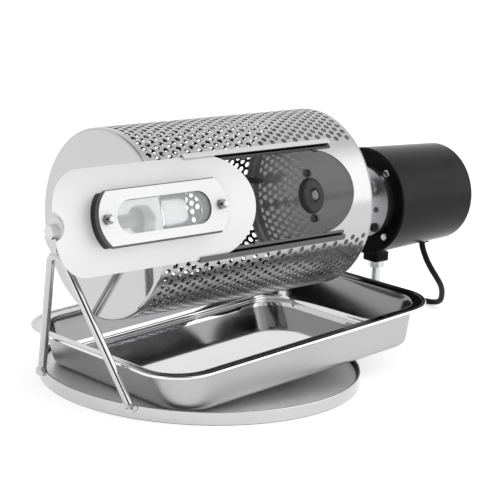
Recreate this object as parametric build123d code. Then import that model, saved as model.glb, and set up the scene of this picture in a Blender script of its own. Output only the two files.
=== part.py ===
from build123d import *
import os
import math

os.makedirs("parts", exist_ok=True)

# Tabletop drum coffee roaster, millimetres, +Z up.
# Origin: centre of the round base on its underside. +X runs along the drum
# axis towards the motor, +Y points to the back.

# ------------------------------------------------------------------ base
BASE_R = 132.5          # outer radius of the rim ring
RIM_T = 1.6             # rim wall
RIM_H = 10.8            # rim height
FLOOR_Z = 6.8           # top of the inner plate
FLOOR_T = 1.2
BOTTOM_T = 1.0

# ------------------------------------------------------------------ drum
AX_Z = 138.75           # height of the drum axis
DRUM_R = 75.0           # shell outer radius
DRUM_T = 0.8
DRUM_XL = -106.2        # left edge of the shell
DRUM_XR = 114.5         # right edge of the shell
CAP_X = -108.4          # flat face of the left cap
CAP_EDGE = 2.2          # rounded edge of the left cap
CAP_T = 1.0
LIP_XR = 115.75         # right plate: lip on the shell's edge
PLATE_XI = 118.8        # right plate: inner face
PLATE_XR = 119.8        # right plate: outer face
PLATE_EDGE = 4.2
HUB_HOLE_R = 15.8       # round hole in the plate, floor of the hub behind it
HUB_R = 24.0
HUB_FLOOR_X = 122.7
HUB_X1 = 131.0
SHAFT_END_X = 124.2
HUB_SCREW_R = 19.7
OPEN_A = 18.0           # direction of the opening, degrees above the front
OPEN_X0, OPEN_X1 = -84.5, 95.7
OPEN_W = 67.5           # chord width of the opening
AXLE_R = 4.0            # output shaft
STUB_R = 5.5            # left axle
AXLE_X = -158.5         # free end of the left axle
COLLAR_R = 11.0
COLLAR_X0, COLLAR_X1 = -152.3, -142.5
COUPLING_R = 8.5

# ------------------------------------------------------------------ rails and door
DOOR_R0, DOOR_R1 = 76.1, 77.1
DOOR_HALF = 30.7        # half angle of the door
DOOR_XL, DOOR_XR = -207.2, -15.6
DOOR_CORNER_TOP, DOOR_CORNER = 37.0, 31.0
NOTCH_R = 10.8
NOTCH_DEPTH = 8.9
RAIL_X0, RAIL_X1 = -72.5, 84.0
LIP_R0, LIP_R1 = 77.5, 78.5
FLANGE_R1 = 75.9
FLANGE_IN = 26.9        # edges, degrees from the opening's centre
LIP_IN = 29.0
LIP_OUT = 32.2
TAB_IN = 25.0
TAB_X = (-52.0, -13.0, 25.5, 65.5)
TAB_L = 4.8

# ------------------------------------------------------------------ window in the door
WIN_A = 17.5            # direction of the window's face
WIN_X = -115.1
WIN_HX, WIN_HY = 50.5, 21.0     # corners of the frame
WIN_SAG = 10.3          # bulge of the frame's ends
GLASS_L, GLASS_W = 89.0, 24.8   # clear opening
N_GASKET = 87.0         # frame underside, from the drum axis
N_FRAME = 88.2
N_SKIRT = 83.4          # lower edge of the frame's turned-down rim
SKIRT_T = 1.8
GLASS_T = 2.2
GLASS_LIP = 2.0
STUD_DX = 54.0
STUD_R = 2.0
STUD_N = 94.6
NUT_AF = 7.0
NUT_T = 3.2

# ------------------------------------------------------------------ left support
ROD_R = 3.5
FOOT_X, FOOT_Y = -120.6, 56.0   # at the top of the rim
FOOT_END_Z = 8.2
APEX_X, APEX_Z = -154.3, 135.0
APEX_FILLET = 11.0
BRKT_LOW = (-150.5, 119.0)      # middle of the plate at the rod and at its top, x and z
BRKT_HIGH = (-157.0, 134.35)
BRKT_HALF = 6.1
BRKT_T = 2.0
SLOT_R = 5.56

# ------------------------------------------------------------------ tray
TRAY_X, TRAY_Y, TRAY_Z = 30.7, -5.0, 16.0   # middle of the underside
TRAY_TILT = 4.0                             # right end up
TRAY_H = 35.8
TRAY_HX, TRAY_HY, TRAY_RIM_R = 150.6, 103.6, 40.5       # rim, half length and half width
TRAY_TX, TRAY_TY, TRAY_TR = 140.6, 91.9, 31.0           # wall at the rim
TRAY_BX, TRAY_BY, TRAY_BR = 130.5, 91.5, 28.0           # wall at the floor
TRAY_T = 0.8
TRAY_FILLET = 5.0
TRAY_ROLL = 3.4

# ------------------------------------------------------------------ right support and motor
POST_X, POST_Y, POST_R = 213.5, 6.0, 4.0
ARM_X0, ARM_X1, ARM_HALF = 106.0, 226.0, 10.0
ARM_Z0, ARM_Z1 = 14.8, 21.0
M_Y, M_Z = 6.0, 125.8                       # axis of the motor and its cover
COVER_X0, COVER_X1 = 193.2, 289.0
COVER_R0, COVER_R1 = 47.7, 44.2
COVER_T = 2.0
COVER_EDGE = 2.6
GM_R, GM_T = 30.0, 1.5
GM_FACE_R = 31.6
GM_X0, GM_X1 = 189.0, 240.0
PLATE_T = 2.0
BP_X0, BP_X1 = 199.0, 202.0                 # bracket plate
BLOCK_X0, BLOCK_X1 = 202.0, 220.5
BLOCK_Y0, BLOCK_Y1 = -4.0, 14.0
BLOCK_Z0, BLOCK_Z1 = 69.5, 77.4
SCREWS_YZ = ((-14.1, 153.1), (-16.0, 96.1))
KNOB_YZ = (-11.2, 105.0)
RIVET_AT, RIVET_A = 18.6, (194.7, 314.7, 74.7)
OUT_GEAR_R = 13.0
MID_Y, MID_Z = 16.43, 134.38
MID_PINION_R, MID_GEAR_R = 4.0, 10.0
ROTOR_PINION_R = 3.5
MESH_GAP = 0.15
RUN_GAP = 0.05

# ------------------------------------------------------------------ cord
CORD_R = 2.75
GLAND_X = 274.4
GLAND_Z = 79.0
COIL_X, COIL_Y = 255.0, 62.0
COIL_RI, COIL_RO, COIL_Z0, COIL_Z1 = 21.7, 38.3, 0.6, 11.6
LEAD = [(274.4, 6.0, 79.0), (274.4, 6.0, 76.0), (276.6, 6.0, 70.8), (279.7, 6.0, 65.0), (284.2, 6.0, 57.9),
        (291.2, 6.2, 49.4), (300.0, 7.0, 40.4), (312.0, 11.0, 30.4), (323.0, 18.0, 19.5), (333.0, 28.0, 7.5),
        (337.0, 42.0, 2.75), (334.0, 62.0, 2.75), (322.0, 82.0, 2.75), (301.0, 93.0, 3.0),
        (277.5, 97.5, 3.35)]
TAIL = [(290.5, 70.0, 8.85), (290.5, 85.0, 9.6), (290.5, 99.0, 9.6), (290.5, 110.0, 7.0), (290.5, 119.0, 7.0)]
PLUG_X = 290.5
PLUG_Y0, PLUG_Y1 = 119.0, 155.0


# ================================================================== helpers
def cylx(r, x0, x1, y=0.0, z=AX_Z):
    return Pos((x0 + x1) / 2, y, z) * Rot(0, 90, 0) * Cylinder(r, x1 - x0)


def cylz(r, z0, z1, x=0.0, y=0.0):
    return Pos(x, y, (z0 + z1) / 2) * Cylinder(r, z1 - z0)


def block(x0, x1, y0, y1, z0, z1):
    return Pos((x0 + x1) / 2, (y0 + y1) / 2, (z0 + z1) / 2) * Box(x1 - x0, y1 - y0, z1 - z0)


def hexx(af, x0, x1, y, z):
    s = Plane(origin=(x0, y, z), x_dir=(0, 1, 0), z_dir=(1, 0, 0)) * RegularPolygon(af / 2, 6, major_radius=False)
    return extrude(s, amount=x1 - x0)


def hexz(af, z0, z1, x, y):
    return Pos(x, y, z0) * extrude(RegularPolygon(af / 2, 6, major_radius=False), amount=z1 - z0)


def polar(a, r):
    t = math.radians(a)
    return (-r * math.cos(t), AX_Z + r * math.sin(t))


def sector(r0, r1, a0, a1, x0, x1):
    """Part of a tube about the drum axis; angles are above the front horizontal."""
    am = (a0 + a1) / 2
    e = [ThreePointArc(polar(a0, r1), polar(am, r1), polar(a1, r1)),
         Line(polar(a1, r1), polar(a1, r0)),
         ThreePointArc(polar(a1, r0), polar(am, r0), polar(a0, r0)),
         Line(polar(a0, r0), polar(a0, r1))]
    return Pos(x0, 0, 0) * extrude(Plane.YZ * make_face(e), amount=x1 - x0)


def face_plane(a, x=0.0, n=0.0):
    t = math.radians(a)
    d = Vector(0, -math.cos(t), math.sin(t))
    return Plane(origin=Vector(x, 0, AX_Z) + d * n, x_dir=(1, 0, 0), z_dir=d)


def along(a, sk, n0, n1, x=0.0):
    """Prism of a sketch in (x, tangent) along the radial direction a."""
    return extrude(face_plane(a, x, n0) * sk, amount=n1 - n0)


def revolve_x(points, y, z):
    """Closed (x, r) outline turned about an axis parallel to X. Three numbers
    after a point's first two give the arc that leads to it: (x, r, mid x, mid r)."""
    ed = []
    for k, p in enumerate(points):
        q = points[k - 1]
        if len(p) == 4:
            ed.append(ThreePointArc((q[0], q[1]), (p[2], p[3]), (p[0], p[1])))
        else:
            ed.append(Line((q[0], q[1]), (p[0], p[1])))
    return Pos(0, y, z) * revolve(make_face(ed), axis=Axis.X)


def save(shape, name):
    if isinstance(shape, (list, tuple, ShapeList)):
        shape = Compound(children=list(shape))
    shape.label = name
    export_step(shape, "parts/" + name + ".step")


# ================================================================== base
rim = cylz(BASE_R, 0, RIM_H) - cylz(BASE_R - RIM_T, -1, RIM_H + 1)
rim = fillet(rim.edges().group_by(Axis.Z)[-1], 0.6)
save(rim, "base_rim")
save(cylz(BASE_R - RIM_T - 0.05, FLOOR_Z - FLOOR_T, FLOOR_Z), "base_plate")
save(cylz(BASE_R - RIM_T - 0.05, 0, BOTTOM_T), "base_bottom_plate")

# bent rod: two splayed feet notched over the rim, leaning outward to one rounded top
d = Vector(APEX_X - FOOT_X, -FOOT_Y, APEX_Z - RIM_H).normalized() * 8
path = FilletPolyline((FOOT_X - d.X, FOOT_Y - d.Y, RIM_H - d.Z), (APEX_X, 0, APEX_Z),
                      (FOOT_X - d.X, -FOOT_Y + d.Y, RIM_H - d.Z), radius=APEX_FILLET)
rod = sweep(Plane(origin=path @ 0, z_dir=path % 0) * Circle(ROD_R), path=path)
rod = rod & block(-200, -60, -90, 90, FOOT_END_Z, 200)
rod = rod - rim
save(rod, "left_leg_rod")

# plate welded to the rod, leaning outward, shallow saddle in its top edge for the axle
up = Vector(BRKT_HIGH[0] - BRKT_LOW[0], 0, BRKT_HIGH[1] - BRKT_LOW[1])
long = up.length
up = up.normalized()
pl = Plane(origin=(BRKT_LOW[0], 0, BRKT_LOW[1]), x_dir=(0, 1, 0), z_dir=(up.Z, 0, -up.X))
pts = [(-3.8, -3.5), (3.8, -3.5), (3.8, 5.0), (BRKT_HALF, 9.5), (BRKT_HALF, long), (-BRKT_HALF, long), (-BRKT_HALF, 9.5), (-3.8, 5.0)]
brk = extrude(pl * make_face(Polyline(*pts, close=True)), amount=BRKT_T / 2, both=True)
brk = brk - cylx(SLOT_R, -170, -140)
brk = brk - rod
brk = max(brk.solids(), key=lambda s: s.volume)
save(brk, "left_bearing_bracket")

# ================================================================== right support
arm = block(ARM_X0, ARM_X1, POST_Y - ARM_HALF, POST_Y + ARM_HALF, ARM_Z0, ARM_Z1)
arm = arm + block(ARM_X0, ARM_X0 + 18, POST_Y - ARM_HALF, POST_Y + ARM_HALF, FLOOR_Z, ARM_Z0)
arm = arm - cylz(POST_R, ARM_Z0 - 1, ARM_Z1 + 1, POST_X, POST_Y)
save(arm, "support_arm")

post = cylz(POST_R, ARM_Z0 - 1.2, BLOCK_Z1 - 2.0, POST_X, POST_Y)
save(post, "motor_post")

nuts = [hexz(13, ARM_Z1, ARM_Z1 + 6.5, POST_X, POST_Y) - cylz(POST_R, 0, 100, POST_X, POST_Y),
        hexz(13, BLOCK_Z0 - 6.5, BLOCK_Z0, POST_X, POST_Y) - cylz(POST_R, 0, 100, POST_X, POST_Y)]
save(nuts, "post_nuts")

# ================================================================== motor
slope = (COVER_R1 - COVER_R0) / (COVER_X1 - COVER_X0)


def cover_r(x):
    return COVER_R0 + slope * (x - COVER_X0)


def edge_arc(x1, r1, e):
    """Rounded corner at (x1, r1): from the side wall round to the end face."""
    h = e * math.sqrt(0.5)
    return [(x1 - e, r1), (x1, r1 - e, x1 - e + h, r1 - e + h)]


outer = [(COVER_X0, 0), (COVER_X0, COVER_R0)] + edge_arc(COVER_X1, COVER_R1, COVER_EDGE) + [(COVER_X1, 0)]
inner = [(COVER_X0 - 1, 0), (COVER_X0 - 1, COVER_R0 - COVER_T - slope)] + edge_arc(COVER_X1 - COVER_T, COVER_R1 - COVER_T, COVER_EDGE - COVER_T) + [(COVER_X1 - COVER_T, 0)]
cover = revolve_x(outer, M_Y, M_Z) - revolve_x(inner, M_Y, M_Z)
# inner shoulder that the bracket plate sits against
cover = cover + (cylx(cover_r(BP_X1) - 1.0, BP_X1, BP_X1 + 2.5, M_Y, M_Z) - cylx(42.5, BP_X1 - 1, BP_X1 + 4, M_Y, M_Z))
cover = cover - block(COVER_X0 - 1, BP_X1 + 3.6, M_Y - 8.4, M_Y + 8.4, 60, M_Z - 40)
cover = cover - cylz(5.0, 70, 100, GLAND_X, M_Y)
save(cover, "motor_cover")

bracket = cylx(44.9, BP_X0, BP_X1, M_Y, M_Z) - cylx(GM_R + 0.3, BP_X0 - 1, BP_X1 + 1, M_Y, M_Z)
bracket = bracket + block(BP_X0, BP_X1 + 3.0, M_Y - 8, M_Y + 8, BLOCK_Z1 - 1, M_Z - 42)
clamp = block(BLOCK_X0, BLOCK_X1, BLOCK_Y0, BLOCK_Y1, BLOCK_Z0, BLOCK_Z1)
clamp = fillet(clamp.edges().filter_by(Axis.Z), 4.0)
clamp = chamfer(clamp.edges().group_by(Axis.Z)[0], 0.8)
bracket = bracket + clamp
bracket = bracket - cylz(POST_R, BLOCK_Z0 - 1, BLOCK_Z1 - 2.0, POST_X, POST_Y)
for y, z in SCREWS_YZ:
    bracket = bracket - cylx(2.0, BP_X0 - 1, BP_X1 + 1, y, z)
save(bracket, "motor_bracket")

# gear motor: round can with two ears, front plate, bushing, rivets
can = cylx(GM_R, GM_X0 + PLATE_T, GM_X1, M_Y, M_Z)
for y, z in SCREWS_YZ:
    ux, uz = y - M_Y, z - M_Z
    L = math.hypot(ux, uz)
    ux, uz = ux / L, uz / L
    p = [(M_Y + ux * 24 - uz * 5, M_Z + uz * 24 + ux * 5), (M_Y + ux * L - uz * 5, M_Z + uz * L + ux * 5),
         (M_Y + ux * L + uz * 5, M_Z + uz * L - ux * 5), (M_Y + ux * 24 + uz * 5, M_Z + uz * 24 - ux * 5)]
    ear = Pos(BP_X1, 0, 0) * extrude(Plane.YZ * make_face(Polyline(*p, close=True)), amount=2.0)
    can = can + ear + cylx(5.0, BP_X1, BP_X1 + 2.0, y, z)
can = can - cylx(GM_R - GM_T, GM_X0, GM_X1 - GM_T, M_Y, M_Z)
can = can - cylx(1.5 + RUN_GAP, GM_X1 - 3, GM_X1 + 1, M_Y, M_Z)
for y, z in SCREWS_YZ:
    can = can - cylx(2.0, BP_X1 - 1, BP_X1 + 3.0, y, z)
save(can, "gearmotor_housing")

front = cylx(GM_FACE_R, GM_X0, GM_X0 + PLATE_T, M_Y, M_Z) - cylx(6.5, GM_X0 - 1, GM_X0 + 5)
save(front, "gearmotor_front_plate")

bush = cylx(6.5, GM_X0 - 4.0, GM_X0 + 2.6) + cylx(9.0, GM_X0 - 2.0, GM_X0)
bush = bush - cylx(AXLE_R + RUN_GAP, GM_X0 - 6, GM_X0 + 5)
save(bush, "shaft_bushing")

rivets = []
for a in RIVET_A:
    t = math.radians(a)
    y, z = M_Y + RIVET_AT * math.cos(t), M_Z + RIVET_AT * math.sin(t)
    rivets.append(fillet(cylx(2.4, GM_X0 - 1.3, GM_X0, y, z).edges().group_by(Axis.X)[0], 0.8))
save(rivets, "face_rivets")

knob = fillet(cylx(4.0, GM_X0 - 2.6, GM_X0, *KNOB_YZ).edges().group_by(Axis.X)[0], 0.8)
save(knob - cylx(1.5, GM_X0 - 3, GM_X0 - 1.4, *KNOB_YZ), "face_knob")

scr = []
for y, z in SCREWS_YZ:
    s = cylx(3.5, BP_X0 - 2.6, BP_X0, y, z)
    s = fillet(s.edges().group_by(Axis.X)[0], 1.0)
    scr.append(s + cylx(2.0, BP_X0 - 1, BP_X1 + 3.4, y, z))
save(scr, "bracket_screws")

mid = cylx(GM_R - GM_T - 0.05, 203.2, 204.7, M_Y, M_Z) - cylx(1.5 + RUN_GAP, 202, 206, M_Y, M_Z) - cylx(1.5, 202, 206, MID_Y, MID_Z)
save(mid, "gearbox_plate")
save(cylx(1.5, GM_X0 + PLATE_T, 204.7, MID_Y, MID_Z), "gear_pin")
save(cylx(GM_R - GM_T - 0.05, 208, 232, M_Y, M_Z) - cylx(16, 207, 233, M_Y, M_Z), "stator_coil")

save(cylx(OUT_GEAR_R - MESH_GAP, 192.0, 196.6) - cylx(AXLE_R, 190, 198), "output_gear")
midgear = cylx(MID_PINION_R - MESH_GAP, 192.0, 198.4, MID_Y, MID_Z) + cylx(MID_GEAR_R - MESH_GAP, 198.4, 202.0, MID_Y, MID_Z)
save(midgear - cylx(1.5 + RUN_GAP, 190, 203, MID_Y, MID_Z), "intermediate_gear")
save(cylx(1.5, 198.0, GM_X1, M_Y, M_Z) + cylx(ROTOR_PINION_R - MESH_GAP, 198.4, 202.0, M_Y, M_Z), "rotor_shaft")
save(cylx(14.5, 208, 232, M_Y, M_Z) - cylx(1.5, 207, 233, M_Y, M_Z), "rotor_magnet")

# ================================================================== drum
shell = cylx(DRUM_R, DRUM_XL, DRUM_XR) - cylx(DRUM_R - DRUM_T, DRUM_XL - 1, DRUM_XR + 1)
slot = Pos((OPEN_X0 + OPEN_X1) / 2, 0) * SlotOverall(OPEN_X1 - OPEN_X0, OPEN_W)
shell = shell - along(OPEN_A, slot, 30, 90)
save(shell, "drum_shell")

RI = DRUM_R - DRUM_T
e1 = CAP_EDGE
h1 = e1 * math.sqrt(0.5)
cx, cr = CAP_X + e1, DRUM_R - e1
cap = [(CAP_X, STUB_R), (CAP_X, cr), (cx, DRUM_R, cx - h1, cr + h1), (DRUM_XL, RI), (DRUM_XL + 3, RI), (DRUM_XL + 3, RI - CAP_T),
       (CAP_X + CAP_T + 0.6, RI - CAP_T), (CAP_X + CAP_T, RI - CAP_T - 0.6), (CAP_X + CAP_T, STUB_R)]
save(revolve_x(cap, 0, AX_Z), "left_end_cap")

# right end: cup pressed into the shell, its face standing a little proud, round hole in the middle
tA = math.radians(OPEN_A)
scr_yz = [(s * HUB_SCREW_R * math.sin(tA), AX_Z + s * HUB_SCREW_R * math.cos(tA)) for s in (1, -1)]
ex, er = PLATE_XR - PLATE_EDGE, RI - PLATE_EDGE
lip_r = er + math.sqrt(PLATE_EDGE ** 2 - (LIP_XR - ex) ** 2)
am = math.acos((LIP_XR - ex) / PLATE_EDGE) / 2
plate = [(PLATE_XI, HUB_HOLE_R), (PLATE_XI, 71.0), (116.5, RI - 1.0, 118.0, 72.45), (DRUM_XR - 3, RI - 1.0), (DRUM_XR - 3, RI),
         (DRUM_XR, RI), (DRUM_XR, DRUM_R), (LIP_XR, DRUM_R), (LIP_XR, lip_r),
         (PLATE_XR, er, ex + PLATE_EDGE * math.cos(am), er + PLATE_EDGE * math.sin(am)), (PLATE_XR, HUB_HOLE_R)]
plate = revolve_x(plate, 0, AX_Z)
for y, z in scr_yz:
    plate = plate - cylx(2.0, PLATE_XI - 1, PLATE_XR + 1, y, z)
save(plate, "right_end_plate")

save(fillet(cylx(STUB_R, AXLE_X, CAP_X + CAP_T).edges().group_by(Axis.X)[0], 0.6), "left_axle")
save(fillet((cylx(COLLAR_R, COLLAR_X0, COLLAR_X1)).edges(), 0.8) - cylx(STUB_R, COLLAR_X0 - 1, COLLAR_X1 + 1), "axle_collar")

# hub behind the plate's hole: dished floor with a tapered bore round the shaft's end
hub = [(PLATE_XR, HUB_HOLE_R), (PLATE_XR, HUB_R), (PLATE_XR + 6.2, HUB_R), (PLATE_XR + 6.2, 12.0), (HUB_X1, 12.0), (HUB_X1, AXLE_R),
       (HUB_FLOOR_X + 2.6, AXLE_R), (HUB_FLOOR_X, 6.6), (HUB_FLOOR_X, HUB_HOLE_R)]
hub = revolve_x(hub, 0, AX_Z)
for y, z in scr_yz:
    hub = hub - cylx(2.0, PLATE_XR - 1, PLATE_XR + 8, y, z)
save(hub, "drive_hub")
hs = []
for y, z in scr_yz:
    s = fillet(cylx(3.4, PLATE_XI - 2.3, PLATE_XI, y, z).edges().group_by(Axis.X)[0], 0.9)
    hs.append(s + cylx(2.0, PLATE_XI - 1, PLATE_XR + 6.0, y, z))
save(hs, "hub_screws")
save(cylx(COUPLING_R, HUB_X1, GM_X0 - 5.0) - cylx(AXLE_R, HUB_X1 - 2, GM_X0), "drive_coupling")
save(cylx(AXLE_R, SHAFT_END_X, 197.2), "output_shaft")

# short stirring vane on the inside of the shell, at the right end
vanes = []
for a in (177.0,):
    t = math.radians(a)
    pl = Plane(origin=(0, 0, AX_Z), x_dir=(1, 0, 0), z_dir=(0, -math.sin(t), -math.cos(t)))
    out = [(84, RI - 0.4), (106.0, RI - 0.4), (106.0, 72.9), (112.0, 72.9), (115.6, 70.4), (118.2, 66.5), (118.2, 59.0), (104.0, 52.0)]
    v = extrude(pl * make_face(Polyline(*out, close=True)), amount=0.5, both=True)
    v = v + sector(RI - 0.8, RI, a - 0.4, a + 6, 84, 105.5)
    vanes.append(v)
save(vanes, "stirring_vane")

# rails: channel with its inner flange on the shell, riser beside the door edge,
# narrow lip over it, short lugs reaching into the opening


def rail(sgn):
    def sec(r0, r1, b0, b1, x0, x1):
        a0, a1 = sorted((OPEN_A + sgn * b0, OPEN_A + sgn * b1))
        return sector(r0, r1, a0, a1, x0, x1)
    s = sec(DRUM_R, FLANGE_R1, FLANGE_IN, LIP_OUT, RAIL_X0, RAIL_X1)
    s = s + sec(DRUM_R, LIP_R1, LIP_OUT - 0.7, LIP_OUT, RAIL_X0, RAIL_X1)
    s = s + sec(LIP_R0, LIP_R1, LIP_IN, LIP_OUT, RAIL_X0, RAIL_X1)
    for x in TAB_X:
        s = s + sec(DRUM_R, FLANGE_R1, TAB_IN, FLANGE_IN + 0.5, x - TAB_L / 2, x + TAB_L / 2)
    return s


save(rail(1), "top_rail")
save(rail(-1), "bottom_rail")

# ================================================================== door with window
chord = DOOR_R1 * math.sin(math.radians(DOOR_HALF))
sk = Pos((DOOR_XL + DOOR_XR - chord) / 2, 0) * Rectangle(DOOR_XR - chord - DOOR_XL, 2 * chord)
ends = sk.vertices().group_by(Axis.X)[0].sort_by(Axis.Y)
sk = fillet(ends[0], DOOR_CORNER)
ends = sk.vertices().group_by(Axis.X)[0].sort_by(Axis.Y)
sk = fillet(ends[-1], DOOR_CORNER_TOP)
sk = sk + Pos(DOOR_XR - chord, 0) * Circle(chord)
sk = sk - Pos(DOOR_XL + NOTCH_DEPTH - NOTCH_R, 0) * Circle(NOTCH_R)
door = sector(DOOR_R0, DOOR_R1, OPEN_A - DOOR_HALF - 2, OPEN_A + DOOR_HALF + 2, DOOR_XL - 1, DOOR_XR + 1)
door = door & along(OPEN_A, sk, 40, 95)
win = SlotOverall(GLASS_L, GLASS_W)
door = door - along(WIN_A, win, 60, 95, WIN_X)
for s in (-1, 1):
    door = door - along(WIN_A, Circle(STUD_R), 70, 98, WIN_X + s * STUD_DX)
save(door, "door_panel")

hx, hy, e = WIN_HX, WIN_HY, WIN_SAG


def frame_outline(g):
    a, b, c = hx - g * 0.6, hy - g, hx + e - g
    ed = [Line((-a, b), (a, b)), ThreePointArc((a, b), (c, 0), (a, -b)), Line((a, -b), (-a, -b)), ThreePointArc((-a, -b), (-c, 0), (-a, b))]
    f = make_face(ed)
    return fillet(f.vertices(), 2.5)


frame = along(WIN_A, frame_outline(0) - win, N_GASKET, N_FRAME, WIN_X)
frame = frame + along(WIN_A, frame_outline(0) - frame_outline(SKIRT_T), N_SKIRT, N_GASKET, WIN_X)
gasket = along(WIN_A, frame_outline(0.8) - win, 70, N_SKIRT, WIN_X)
gasket = gasket + along(WIN_A, frame_outline(SKIRT_T) - win, N_SKIRT, N_GASKET, WIN_X)
gasket = gasket - cylx(DOOR_R1, -260, 120)
gasket = gasket - along(WIN_A, SlotOverall(GLASS_L + 2 * GLASS_LIP, GLASS_W + 2 * GLASS_LIP), N_GASKET - GLASS_T, N_GASKET + 1, WIN_X)
glass = along(WIN_A, SlotOverall(GLASS_L + 2 * GLASS_LIP, GLASS_W + 2 * GLASS_LIP), N_GASKET - GLASS_T, N_GASKET, WIN_X)
studs, wnuts = [], []
for s in (-1, 1):
    hole = along(WIN_A, Circle(STUD_R), 70, 98, WIN_X + s * STUD_DX)
    frame = frame - hole
    gasket = gasket - hole
    st = along(WIN_A, Circle(STUD_R), DOOR_R0 + 0.02, STUD_N, WIN_X + s * STUD_DX)
    tip = face_plane(WIN_A).z_dir
    st = fillet(max(st.faces().filter_by(GeomType.PLANE), key=lambda q: q.center().dot(tip)).edges(), 0.9)
    studs.append(st)
    wnuts.append(along(WIN_A, RegularPolygon(NUT_AF / 2, 6, major_radius=False) - Circle(STUD_R), N_FRAME, N_FRAME + NUT_T, WIN_X + s * STUD_DX))
save(frame, "window_frame")
save(gasket, "window_gasket")
save(glass, "window_glass")
save(studs, "window_screws")
save(wnuts, "window_nuts")

# ================================================================== tray
def tray_block(g, z0, z1):
    """Tapered block with rounded corners; g is taken off every side."""
    k = (TRAY_TX - TRAY_BX) / TRAY_H, (TRAY_TY - TRAY_BY) / TRAY_H, (TRAY_TR - TRAY_BR) / TRAY_H
    sec = []
    for z in (z0, z1):
        bx, by, br = TRAY_BX + k[0] * z - g, TRAY_BY + k[1] * z - g, TRAY_BR + k[2] * z - g
        sec.append(Pos(0, 0, z) * RectangleRounded(2 * bx, 2 * by, br))
    return loft(sec)


po = tray_block(0, 0, TRAY_H)
po = fillet(po.faces().sort_by(Axis.Z)[0].edges(), TRAY_FILLET)
pi_ = tray_block(TRAY_T, TRAY_T, TRAY_H + 1)
pi_ = fillet(pi_.faces().sort_by(Axis.Z)[0].edges(), TRAY_FILLET - TRAY_T)
rimo = RectangleRounded(2 * TRAY_HX, 2 * TRAY_HY, TRAY_RIM_R)
rimi = RectangleRounded(2 * (TRAY_HX - 1.2), 2 * (TRAY_HY - 1.2), TRAY_RIM_R - 1.2)
fl = Pos(0, 0, TRAY_H - TRAY_T) * extrude(rimo, amount=TRAY_T)
roll = Pos(0, 0, TRAY_H - TRAY_ROLL) * extrude(rimo - rimi, amount=TRAY_ROLL)
pan = po + fl - pi_ + roll
pan = Pos(TRAY_X, TRAY_Y, TRAY_Z) * Rot(0, -TRAY_TILT, 0) * pan
save(pan, "tray_pan")

# ================================================================== cord
gl = cylz(6.2, GLAND_Z, 84.0, GLAND_X, M_Y) - revolve_x(outer, M_Y, M_Z) + cylz(5.0, GLAND_Z, 85.0, GLAND_X, M_Y)
save(gl, "cord_gland")


def tube(points, r, bend):
    p = FilletPolyline(*points, radius=bend)
    return sweep(Plane(origin=p @ 0, z_dir=p % 0) * Circle(r), path=p)


save(tube(LEAD, CORD_R, 6.0), "cord_tube")
save(tube(TAIL, CORD_R, 8.0), "cord_tail")
ring = cylz(COIL_RO, COIL_Z0, COIL_Z1, COIL_X, COIL_Y) - cylz(COIL_RI, COIL_Z0 - 1, COIL_Z1 + 1, COIL_X, COIL_Y)
save(fillet(ring.edges(), 2.5), "cord_coil")
tie = block(20.0, 39.6, -4.5, 4.5, 0, 12.6) - block(21.0, 38.5, -5, 5, 0.6, 11.7)
tie = Pos(COIL_X, COIL_Y, 0) * Rot(0, 0, 215) * tie
save(tie, "cord_tie")
body = Pos(PLUG_X, (PLUG_Y0 + PLUG_Y1) / 2, 7) * Rot(-90, 0, 0) * extrude(RectangleRounded(27, 14, 5), amount=(PLUG_Y1 - PLUG_Y0) / 2, both=True)
body = fillet(body.edges().group_by(Axis.Y)[0], 2.0)
save(body, "plug_body")
pins = []
for dx in (-9.5, 9.5):
    p = Pos(PLUG_X + dx, PLUG_Y1 + 9.5, 7) * Rot(90, 0, 0) * Cylinder(2.0, 19)
    pins.append(fillet(p.edges().group_by(Axis.Y)[-1], 1.0))
save(pins, "plug_pins")
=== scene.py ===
import bmesh
import bpy
import math
import numpy as np
from mathutils import Vector, Matrix, kdtree, noise
from mathutils.geometry import delaunay_2d_cdt


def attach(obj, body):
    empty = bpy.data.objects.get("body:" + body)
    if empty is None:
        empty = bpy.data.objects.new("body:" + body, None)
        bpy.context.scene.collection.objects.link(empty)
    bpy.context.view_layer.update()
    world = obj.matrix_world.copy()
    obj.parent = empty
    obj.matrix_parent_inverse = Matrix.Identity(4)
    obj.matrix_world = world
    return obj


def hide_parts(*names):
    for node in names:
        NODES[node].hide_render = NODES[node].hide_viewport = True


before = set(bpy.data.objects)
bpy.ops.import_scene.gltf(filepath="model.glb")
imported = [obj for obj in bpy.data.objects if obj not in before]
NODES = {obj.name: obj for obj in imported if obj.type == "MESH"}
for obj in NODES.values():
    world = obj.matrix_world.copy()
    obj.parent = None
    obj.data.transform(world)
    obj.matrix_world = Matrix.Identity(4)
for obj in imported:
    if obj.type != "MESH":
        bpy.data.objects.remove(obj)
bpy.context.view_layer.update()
SCENE = bpy.context.scene
MM = 0.001

# ------------------------------------------------------------------ camera
CAM_AZ, CAM_EL, CAM_ROLL = 0.753999, 0.227819, 0.047411
CAM_F, CAM_D = 1718.744, 1.439255
CAM_T = Vector((0.050124, 0.0, 0.099273))

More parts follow.
